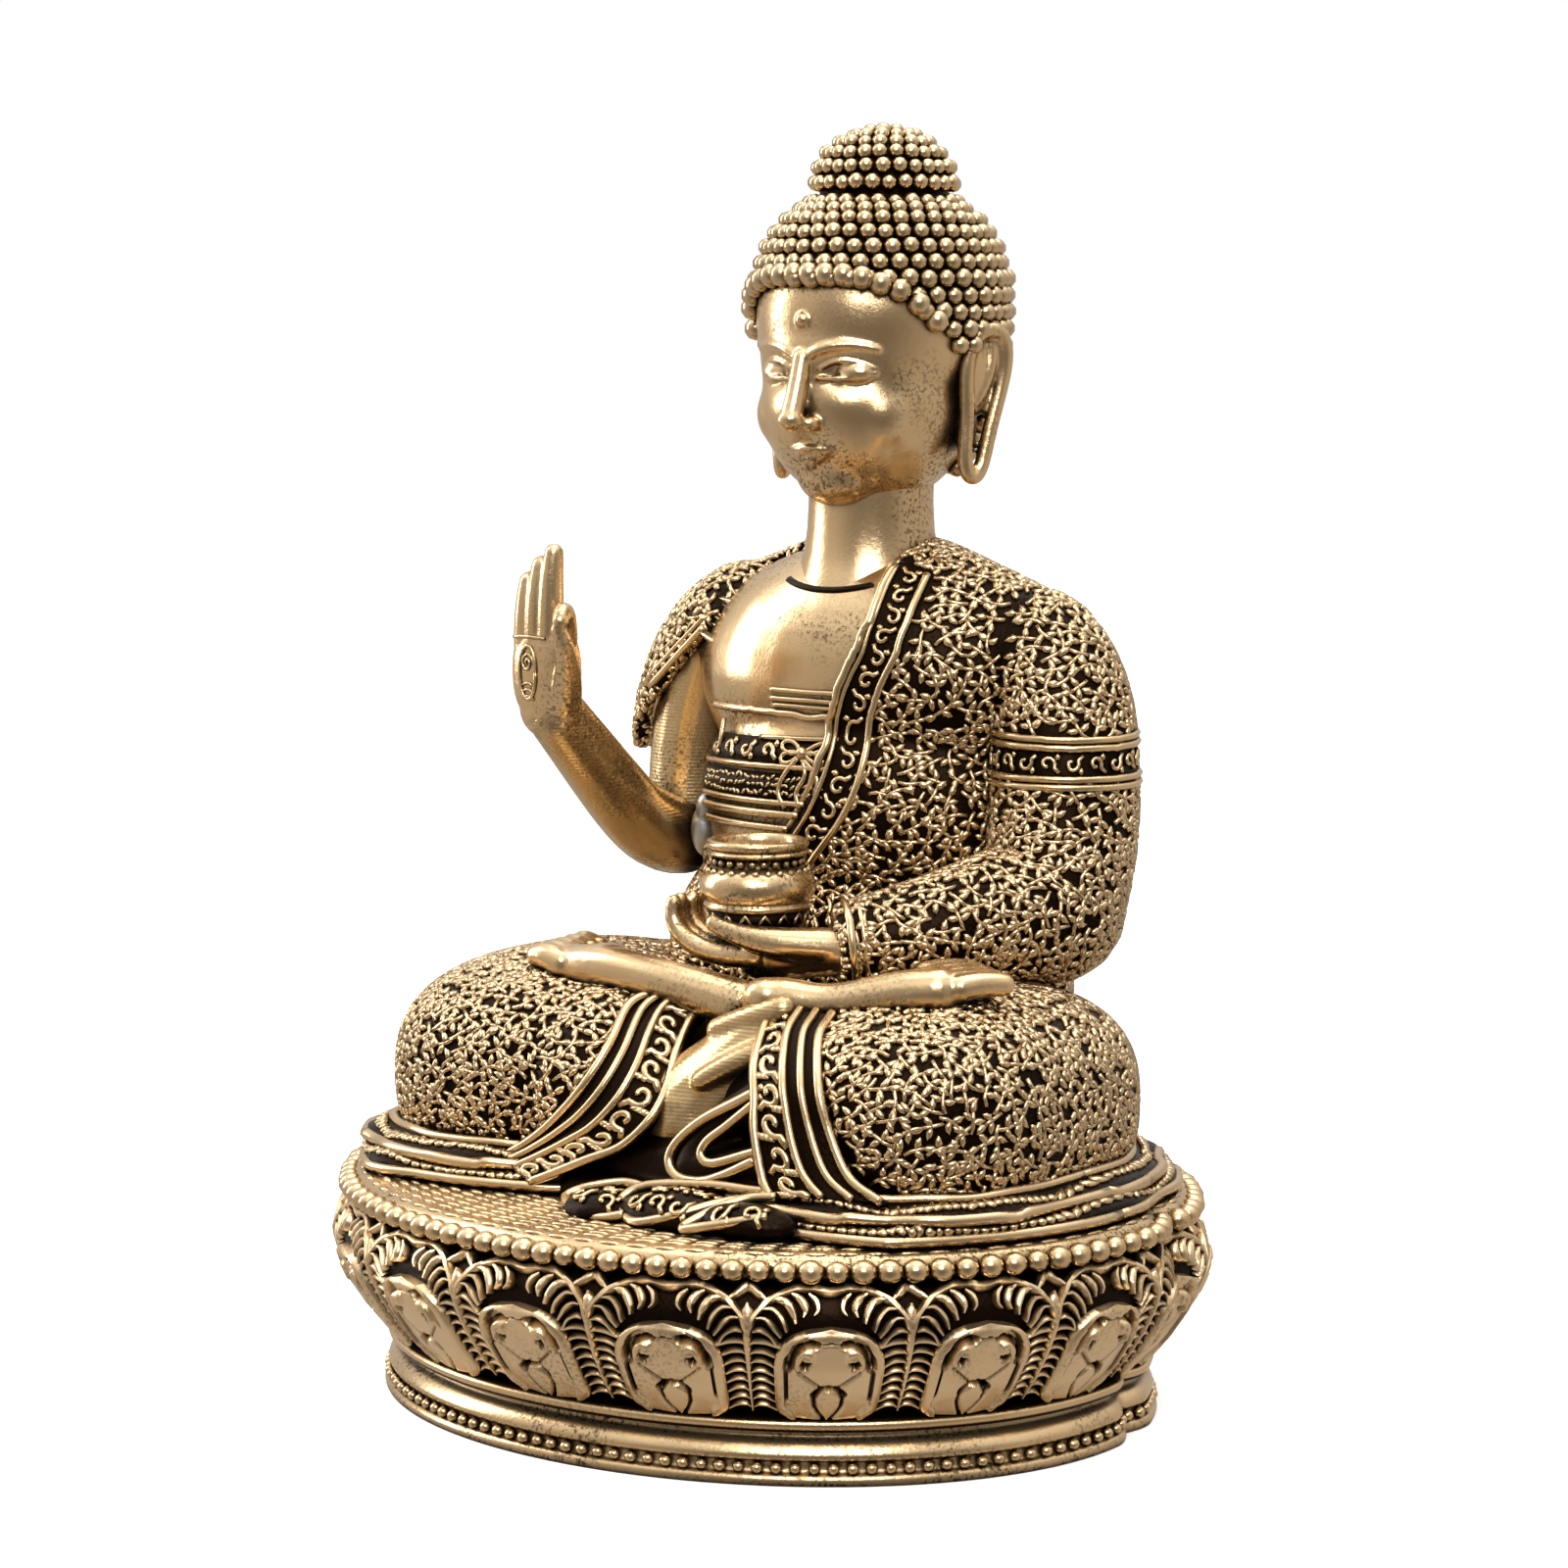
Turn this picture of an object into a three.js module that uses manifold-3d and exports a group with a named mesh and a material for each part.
// Seated lotus statuette: a cast brass figure on an oval double-moulded lotus base.
// Millimetres, +Z up. The origin is the middle of the foot ring's underside.
// The figure faces -Y, so its own left side is +X.

import * as THREE from 'three';
import { mergeVertices } from 'three/addons/utils/BufferGeometryUtils.js';
import Module from 'manifold-3d';

const wasm = await Module();
wasm.setup();

// Driving dimensions
const HEIGHT = 76;              // foot to topknot
const RIM_A = 27.1;             // half length of the beaded rim, along X
const RIM_B = 23.3;             // half width of the beaded rim, along Y
const FOOT_TOP = 3;             // foot ring to lotus ring joint
const LOTUS_TOP = 11.9;         // lotus ring to deck plate joint
const DECK_TOP = 13.5;          // the face that the figure sits on
const SKIRT_TOP = 14.9;         // hem layer to leg joint
const GAP = 0.25;               // clearance between separate castings
const PETALS = 18;
const PETAL_RELIEF = 0.7;
const SEGMENTS = 72;            // facets round the oval
const NOTCH_ANGLE = 10;         // degrees behind the X axis, where the mouldings step in
const NOTCH_DEPTH = 0.035;      // share of the radius
const FIGURE_Y = 11.3;          // depth of the spine
const SHOULDER_X = 12.6;
const KNEE_X = 12.9;
const PIN_R = 0.7;
const NECK_PIN_R = 1.2;
const SCREW_R = 1.3;
const SCREW_HEAD_R = 2.4;
const SCREW_PLACES = { left: [12, -3], right: [-12, -3], back: [0, 12] };

const FINISHES = {
  polished: { color: 0xc79a55, metalness: 1, roughness: 0.28 },
  antique: { color: 0x8a6a38, metalness: 1, roughness: 0.45 },
  steel: { color: 0x9a9a98, metalness: 1, roughness: 0.4 },
};

// ---- solids ----

function signedVolume(triangles, points) {
  const a = new THREE.Vector3();
  const b = new THREE.Vector3();
  const c = new THREE.Vector3();
  let volume = 0;
  for (let i = 0; i < triangles.length; i += 3) {
    a.fromArray(points, triangles[i] * 3);
    b.fromArray(points, triangles[i + 1] * 3);
    c.fromArray(points, triangles[i + 2] * 3);
    volume += a.dot(b.cross(c)) / 6;
  }
  return volume;
}

function toSolid(geometry) {
  geometry.deleteAttribute('normal');
  geometry.deleteAttribute('uv');
  const merged = mergeVertices(geometry, 1e-4);
  const vertProperties = new Float32Array(merged.attributes.position.array);
  const triVerts = new Uint32Array(merged.index.array);
  if (signedVolume(triVerts, vertProperties) < 0) {
    for (let i = 0; i < triVerts.length; i += 3) {
      [triVerts[i], triVerts[i + 1]] = [triVerts[i + 1], triVerts[i]];
    }
  }
  return new wasm.Manifold(new wasm.Mesh({ numProp: 3, vertProperties, triVerts }));
}

function joined(solids) {
  return solids.reduce((whole, next) => whole.add(next));
}

function without(solid, ...cutters) {
  return cutters.reduce((left, cutter) => left.subtract(cutter), solid);
}

function block(low, high) {
  const size = high.map((value, axis) => value - low[axis]);
  const shape = new THREE.BoxGeometry(...size);
  shape.translate(...low.map((value, axis) => value + size[axis] / 2));
  return toSolid(shape);
}

// Everything under a height, for flat joints
function below(z) {
  return block([-40, -40, z - 60], [40, 40, z]);
}

// An ellipsoid, or with squareness over 2 a fuller, boxier one
function blob(centre, size, grow = 0, squareness = 2, sides = 16) {
  const shape = new THREE.SphereGeometry(1, sides, sides / 2);
  shape.rotateX(Math.PI / 2);
  const position = shape.attributes.position;
  for (let i = 0; i < position.count; i++) {
    const place = [0, 1, 2].map((axis) => {
      const unit = position.getComponent(i, axis);
      const full = Math.sign(unit) * Math.abs(unit) ** (2 / squareness);
      return centre[axis] + full * (size[axis] + grow);
    });
    position.setXYZ(i, ...place);
  }
  return toSolid(shape);
}

function between(values, share) {
  const spot = share * (values.length - 1);
  const first = Math.min(Math.floor(spot), values.length - 2);
  return THREE.MathUtils.lerp(values[first], values[first + 1], spot - first);
}

// A round-ended limb along a curve, its radius changing from joint to joint
function limb(points, radii, grow = 0, sides = 10, steps = 6) {
  const curve = new THREE.CatmullRomCurve3(points.map((point) => new THREE.Vector3(...point)));
  const frames = curve.computeFrenetFrames(steps, false);
  const shape = new THREE.CapsuleGeometry(1, steps, 2, sides, steps);
  const position = shape.attributes.position;
  for (let i = 0; i < position.count; i++) {
    const along = position.getY(i) + steps / 2;
    const row = THREE.MathUtils.clamp(Math.round(along), 0, steps);
    const beyond = along - THREE.MathUtils.clamp(along, 0, steps);
    const radius = between(radii, row / steps) + grow;
    const place = curve.getPointAt(row / steps);
    place.addScaledVector(frames.tangents[row], beyond * radius);
    place.addScaledVector(frames.normals[row], position.getX(i) * radius);
    place.addScaledVector(frames.binormals[row], position.getZ(i) * radius);
    position.setXYZ(i, place.x, place.y, place.z);
  }
  return toSolid(shape);
}

function rod(from, to, radius, sides = 12) {
  const start = new THREE.Vector3(...from);
  const span = new THREE.Vector3(...to).sub(start);
  const shape = new THREE.CylinderGeometry(radius, radius, span.length(), sides);
  shape.translate(0, span.length() / 2, 0);
  const turn = new THREE.Quaternion();
  turn.setFromUnitVectors(new THREE.Vector3(0, 1, 0), span.clone().normalize());
  shape.applyQuaternion(turn);
  shape.translate(...from);
  return toSolid(shape);
}

// The blind hole that a rod sits in, with clearance all round and at both ends
function rodHole(from, to, radius) {
  const start = new THREE.Vector3(...from);
  const end = new THREE.Vector3(...to);
  const extra = end.clone().sub(start).setLength(GAP);
  end.add(extra);
  start.sub(extra);
  return rod(start.toArray(), end.toArray(), radius + GAP);
}

// ---- oval base ----

function notchAt(angle) {
  const degrees = THREE.MathUtils.radToDeg(angle);
  const fromX = Math.min(Math.abs(degrees - NOTCH_ANGLE), Math.abs(degrees - 180 + NOTCH_ANGLE));
  return NOTCH_DEPTH * Math.max(0, 1 - fromX / 10);
}

// Revolves a profile of [inset from the rim, z], then draws the circle out to the notched oval
function ovalRing(profile, petalSwell = () => 0) {
  const points = profile.map(([inset, z]) => new THREE.Vector2(Math.max(RIM_A - inset, 0), z));
  const shape = new THREE.LatheGeometry(points, SEGMENTS);
  const position = shape.attributes.position;
  for (let i = 0; i < position.count; i++) {
    const radius = Math.hypot(position.getX(i), position.getZ(i));
    const angle = Math.atan2(position.getZ(i), position.getX(i));
    const z = position.getY(i);
    const swell = petalSwell(angle, z, radius);
    const keep = 1 - notchAt(angle);
    const across = radius > 0 ? radius - (RIM_A - RIM_B) : 0;
    position.setXYZ(i, (radius + swell) * keep * Math.cos(angle), (across + swell) * keep * Math.sin(angle), z);
  }
  return toSolid(shape);
}

function footRing() {
  return ovalRing([
    [4.6, 0], [2.7, 0], [2.6, 1.6], [3.5, FOOT_TOP], [5.4, FOOT_TOP], [5.4, 1.7], [4.6, 1.7], [4.6, 0],
  ]);
}

function petalSwell(angle, z, radius) {
  const onOutside = radius > RIM_A - 3.6 + (z - 4) * 0.12;
  const inPetal = z > 4.5 && z < 10.6;
  const hump = Math.sqrt(Math.abs(Math.cos(angle * PETALS / 2)));
  return onOutside && inPetal ? PETAL_RELIEF * hump : 0;
}

function lotusRing() {
  return ovalRing([
    [5.4, FOOT_TOP], [3.3, FOOT_TOP], [3.3, 3.6], [3.6, 3.9], [2.9, 4.8], [1.2, 6.8],
    [0.2, 8.6], [-0.2, 9.9], [0.8, 11.1], [1.5, LOTUS_TOP], [3.6, LOTUS_TOP], [4.2, 7.5], [5.4, FOOT_TOP],
  ], petalSwell);
}

function deckPlate() {
  const plate = ovalRing([
    [RIM_A, LOTUS_TOP], [1.4, LOTUS_TOP], [0.3, 12.0], [0, 12.5], [0.3, 13.05],
    [1.3, 13.5], [2.2, 13.62], [3.2, DECK_TOP], [RIM_A, DECK_TOP],
  ]);
  const holes = Object.values(SCREW_PLACES).map(
    ([x, y]) => rod([x, y, LOTUS_TOP - 1], [x, y, DECK_TOP + 1], SCREW_R + GAP));
  return without(plate, ...holes);
}

function baseCover() {
  return ovalRing([[RIM_A, 0.7], [4.85, 0.7], [4.85, 1.5], [RIM_A, 1.5]]);
}

// The flat inner field of the deck, inside the rim's convex band
function deckField() {
  return ovalRing([[RIM_A, LOTUS_TOP], [3.3, LOTUS_TOP], [3.3, SKIRT_TOP + 3], [RIM_A, SKIRT_TOP + 3]]);
}

function figureScrew([x, y]) {
  const shank = rod([x, y, LOTUS_TOP - 1], [x, y, 17.5], SCREW_R);
  const head = rod([x, y, LOTUS_TOP - 1.7], [x, y, LOTUS_TOP - GAP], SCREW_HEAD_R, 16);
  const slot = block([x - 3, y - 0.3, LOTUS_TOP - 2], [x + 3, y + 0.3, LOTUS_TOP - 1.1]);
  return joined([shank, head]).subtract(slot);
}

function screwHole(side) {
  const [x, y] = SCREW_PLACES[side];
  return rod([x, y, DECK_TOP - 1], [x, y, 17.5 + GAP], SCREW_R + GAP);
}

// ---- figure: each shape can be grown, so that its neighbour is cut clear of it ----

function torsoShape(grow = 0) {
  const chest = blob([0, FIGURE_Y + 0.3, 42.3], [12.2, 7.5, 8.6], grow);
  const shoulders = limb([[-10.5, FIGURE_Y + 0.7, 45.6], [0, FIGURE_Y + 0.5, 47], [10.5, FIGURE_Y + 0.7, 45.6]],
    [3.8, 3.9, 3.8], grow);
  const belly = blob([0, FIGURE_Y - 0.4, 34], [11.2, 7.9, 10], grow);
  const hips = blob([0, FIGURE_Y - 0.6, 24], [13, 9, 10.5], grow);
  const seat = blob([0, FIGURE_Y - 1, 15.5], [15, 9.2, 4.6], grow, 2.3);
  return joined([chest, shoulders, belly, hips, seat]).subtract(below(DECK_TOP - grow));
}

function legShape(side, grow = 0) {
  const lobe = blob([side * KNEE_X, -0.5, 18.7], [9.8, 12.4, 7.1], grow, 2.6, 24);
  return lobe.subtract(below(SKIRT_TOP - grow));
}

function skirtShape(side, grow = 0) {
  const outline = new THREE.Shape();
  const waves = 9;
  const corners = 48;
  for (let i = 0; i <= corners; i++) {
    const angle = (i / corners) * Math.PI * 2;
    const ripple = 1 + 0.018 * Math.sin(waves * angle);
    const x = side * KNEE_X + Math.sign(Math.cos(angle)) * Math.abs(Math.cos(angle)) ** 0.85 * 11 * ripple;
    const y = -1.2 + Math.sign(Math.sin(angle)) * Math.abs(Math.sin(angle)) ** 0.85 * 14.2 * ripple;
    outline[i ? 'lineTo' : 'moveTo'](x, y);
  }
  const shape = new THREE.ExtrudeGeometry(outline, { depth: SKIRT_TOP - DECK_TOP + grow, bevelEnabled: false });
  shape.translate(0, 0, DECK_TOP - grow / 2);
  return toSolid(shape);
}

function rightFootShape(grow = 0) {
  const sole = limb([[5.6, -8.2, 25.6], [10.5, -6.8, 26.2], [15.4, -4.4, 26.4]], [1.6, 1.7, 2], grow);
  const toes = limb([[15.4, -4.4, 26.4], [17.6, -1.8, 26.4]], [1.7, 1.1], grow, 10, 3);
  return sole.add(toes);
}

function leftFootShape(grow = 0) {
  const sole = limb([[2.2, -7.2, 24.9], [-4.5, -7, 25.5], [-10.6, -6.2, 25.7]], [1.6, 1.7, 1.9], grow);
  const toes = limb([[-10.6, -6.2, 25.7], [-12.6, -4.6, 25.7]], [1.6, 1.1], grow, 10, 3);
  return sole.add(toes);
}

function rightShinShape(grow = 0) {
  return limb([[5, -8.2, 23.4], [0.5, -9, 20.5], [-4, -8.6, 18.4]], [2, 3.2, 3.9], grow);
}

function neckShape(grow = 0) {
  return rod([0, FIGURE_Y - 0.5, 48.4 - grow], [0, FIGURE_Y - 0.3, 55], 3.9 + grow, 16);
}

function headShape() {
  const skull = blob([0, 11.9, 64], [7.6, 8.5, 7.9]);
  const jaw = blob([0, 10.6, 58.6], [5.9, 6.6, 6.3]);
  const topknot = blob([0, 12.2, HEIGHT - 4.9], [5, 5.1, 4.9]);
  const ears = [-1, 1].map((side) => limb(
    [[side * 7.1, 12.4, 62.5], [side * 7.3, 12.2, 59], [side * 7, 11.6, 55.4]], [1.4, 1, 0.8], 0, 8, 4));
  return joined([skull, jaw, topknot, neckShape(), ...ears]);
}

function rightUpperArmShape(grow = 0) {
  return limb([[-SHOULDER_X, FIGURE_Y + 0.4, 45.6], [-13.9, FIGURE_Y + 0.3, 40], [-13.5, FIGURE_Y - 0.9, 32.6]],
    [4, 3.4, 2.9], grow);
}

function rightForearmShape(grow = 0) {
  return limb([[-13.4, 8.4, 31.2], [-13.4, 3.4, 34], [-13.5, -2.4, 39.2]], [2.8, 2.6, 1.9], grow);
}

function rightHandShape(grow = 0) {
  const palm = blob([-13.5, -3.7, 43], [2.5, 1.15, 3], grow, 2.4, 12);
  const parts = [palm];
  const tips = [[-15.4, 49.2], [-14.3, 50.2], [-13.2, 49.9]];
  for (const [x, top] of tips) {
    parts.push(limb([[x + 0.15, -3.9, 44.8], [x, -4.2, 47.4], [x, -4.1, top]], [0.72, 0.66, 0.6], grow, 6, 3));
  }
  parts.push(limb([[-12, -3.8, 44.6], [-11.7, -4.6, 46.8], [-11.4, -5.9, 46.9], [-11.2, -6.3, 45.9]],
    [0.7, 0.62, 0.6, 0.55], grow, 6, 4));
  parts.push(limb([[-11.7, -3.7, 42.2], [-10.9, -4.6, 43.6], [-11, -6, 45.2]], [0.8, 0.7, 0.6], grow, 6, 3));
  return joined(parts);
}

function leftUpperArmShape(grow = 0) {
  return limb([[SHOULDER_X, FIGURE_Y + 0.4, 45.6], [14, FIGURE_Y, 39], [14.4, FIGURE_Y - 1.6, 31]],
    [4, 4, 4], grow);
}

function leftForearmShape(grow = 0) {
  return limb([[14.4, 8.2, 28.6], [12.4, 2.4, 28.2], [8.6, -1.6, 27.4]], [3.9, 3.3, 2.4], grow);
}

function leftHandShape(grow = 0) {
  const palm = limb([[6.6, -2.3, 27.4], [3.2, -2.9, 27], [0.4, -3, 27]], [1.7, 1.55, 1.5], grow);
  const parts = [palm];
  for (let finger = 0; finger < 4; finger++) {
    const y = -4.4 + finger * 0.95;
    parts.push(limb([[1.4, y, 26.9], [-2.4, y, 27.1], [-4.6 + finger * 0.2, y, 28.3]],
      [0.72, 0.62, 0.55], grow, 6, 3));
  }
  parts.push(limb([[4.4, -4.2, 27.8], [1.6, -5, 28.2], [-0.6, -5.2, 28.6]], [0.8, 0.7, 0.55], grow, 6, 3));
  return joined(parts).subtract(block([-2.4, -5.4, 28.55], [4.4, 1.4, 31]));
}

function bowl() {
  const outline = [
    [0, 28.8], [2.2, 28.8], [2.9, 29.6], [3.5, 30.6], [3.4, 31.5], [2.7, 32.1], [2.8, 32.6],
    [3.4, 33], [3.4, 33.7], [2.6, 33.7], [2.3, 32.4], [2.5, 31], [1.9, 30.3], [0, 30.3],
  ];
  const shape = new THREE.LatheGeometry(outline.map(([r, z]) => new THREE.Vector2(r, z)), 20);
  shape.rotateX(Math.PI / 2);
  shape.translate(1, -2, 0);
  return toSolid(shape);
}

function drapeShape() {
  const fall = limb([[0, -9.5, 17], [1, -13, 15.2], [1.5, -15.5, 14]], [3.5, 2.6, 1.4]);
  const leaves = [-2.8, 0.6, 4].map((x, i) => blob([x, -16.2 - i * 0.3, DECK_TOP], [3.4, 2.6, 1.5], 0, 2.3, 14));
  return joined([fall, ...leaves]).subtract(below(DECK_TOP));
}

function sashShape() {
  const band = block([-8, -5, 35.4], [3.4, FIGURE_Y - 1, 40.2]);
  return torsoShape(0.95).intersect(band).subtract(torsoShape(GAP));
}

// ---- joints between castings: [from, to, radius] ----

const PINS = {
  neck_pin: [[0, FIGURE_Y - 0.5, 45.5], [0, FIGURE_Y - 0.5, 52], NECK_PIN_R],
  right_elbow_pin: [[-13.45, 9.2, 34.2], [-13.4, 7.4, 31.4], PIN_R],
  right_wrist_pin: [[-13.5, -1.6, 38.4], [-13.5, -3.6, 42.4], PIN_R],
  left_wrist_pin: [[9.4, -1.2, 27.4], [4.6, -2.6, 27.2], PIN_R],
  bowl_pin: [[1, -2, 27.4], [1, -2, 29.7], 0.5],
};

function pinHole(name) {
  return rodHole(...PINS[name]);
}

// ---- the assembly ----

const legs = { right: legShape(-1), left: legShape(1) };
const feetCut = rightFootShape(GAP).add(leftFootShape(GAP));
const legsCut = legShape(-1, GAP).add(legShape(1, GAP));

function legCasting(side) {
  return without(legs[side], torsoShape(GAP), feetCut, screwHole(side));
}

function skirtCasting(side, sign) {
  return without(skirtShape(sign).intersect(deckField()), torsoShape(GAP), screwHole(side));
}

const pieces = [
  ['foot_ring', footRing(), 'polished'],
  ['lotus_ring', lotusRing(), 'antique'],
  ['deck_plate', deckPlate(), 'polished'],
  ['base_cover', baseCover(), 'polished'],
  ['figure_screw_left', figureScrew(SCREW_PLACES.left), 'steel'],
  ['figure_screw_right', figureScrew(SCREW_PLACES.right), 'steel'],
  ['figure_screw_back', figureScrew(SCREW_PLACES.back), 'steel'],
  ['right_leg', legCasting('right'), 'antique'],
  ['left_leg', legCasting('left'), 'antique'],
  ['right_skirt', skirtCasting('right', -1), 'antique'],
  ['left_skirt', skirtCasting('left', 1), 'antique'],
  ['front_drape', without(drapeShape(), legsCut, rightShinShape(GAP), torsoShape(GAP),
    skirtShape(-1, GAP), skirtShape(1, GAP)), 'antique'],
  ['right_foot', rightFootShape(), 'polished'],
  ['left_foot', without(leftFootShape(), rightFootShape(GAP)), 'polished'],
  ['right_shin', without(rightShinShape(), legsCut, feetCut, torsoShape(GAP), below(SKIRT_TOP)), 'polished'],
  ['torso', without(torsoShape(), neckShape(GAP), pinHole('neck_pin'), screwHole('back')), 'antique'],
  ['waist_sash', sashShape(), 'antique'],
  ['right_upper_arm', without(rightUpperArmShape(), torsoShape(GAP), pinHole('right_elbow_pin')), 'polished'],
  ['right_forearm', without(rightForearmShape(), rightUpperArmShape(GAP), torsoShape(GAP),
    pinHole('right_elbow_pin'), pinHole('right_wrist_pin')), 'polished'],
  ['right_hand', without(rightHandShape(), rightForearmShape(GAP), pinHole('right_wrist_pin')), 'polished'],
  ['left_upper_arm', without(leftUpperArmShape(), torsoShape(GAP)), 'antique'],
  ['left_forearm', without(leftForearmShape(), leftUpperArmShape(GAP), torsoShape(GAP), legsCut, feetCut,
    pinHole('left_wrist_pin')), 'antique'],
  ['left_hand', without(leftHandShape(), leftForearmShape(GAP), feetCut, torsoShape(GAP),
    pinHole('left_wrist_pin'), pinHole('bowl_pin')), 'polished'],
  ['alms_bowl', without(bowl(), pinHole('bowl_pin')), 'polished'],
  ['head', without(headShape(), pinHole('neck_pin')), 'polished'],
];

for (const [name, size] of Object.entries(PINS)) {
  pieces.push([name, rod(...size), 'steel']);
}

function toMesh([name, solid, finish]) {
  const { vertProperties, triVerts } = solid.getMesh();
  const geometry = new THREE.BufferGeometry();
  geometry.setAttribute('position', new THREE.BufferAttribute(vertProperties, 3));
  geometry.setIndex(new THREE.BufferAttribute(triVerts, 1));
  geometry.computeVertexNormals();
  const mesh = new THREE.Mesh(geometry, new THREE.MeshStandardMaterial(FINISHES[finish]));
  mesh.name = name;
  return mesh;
}

const statuette = new THREE.Group();
statuette.add(...pieces.map(toMesh));

export default statuette;
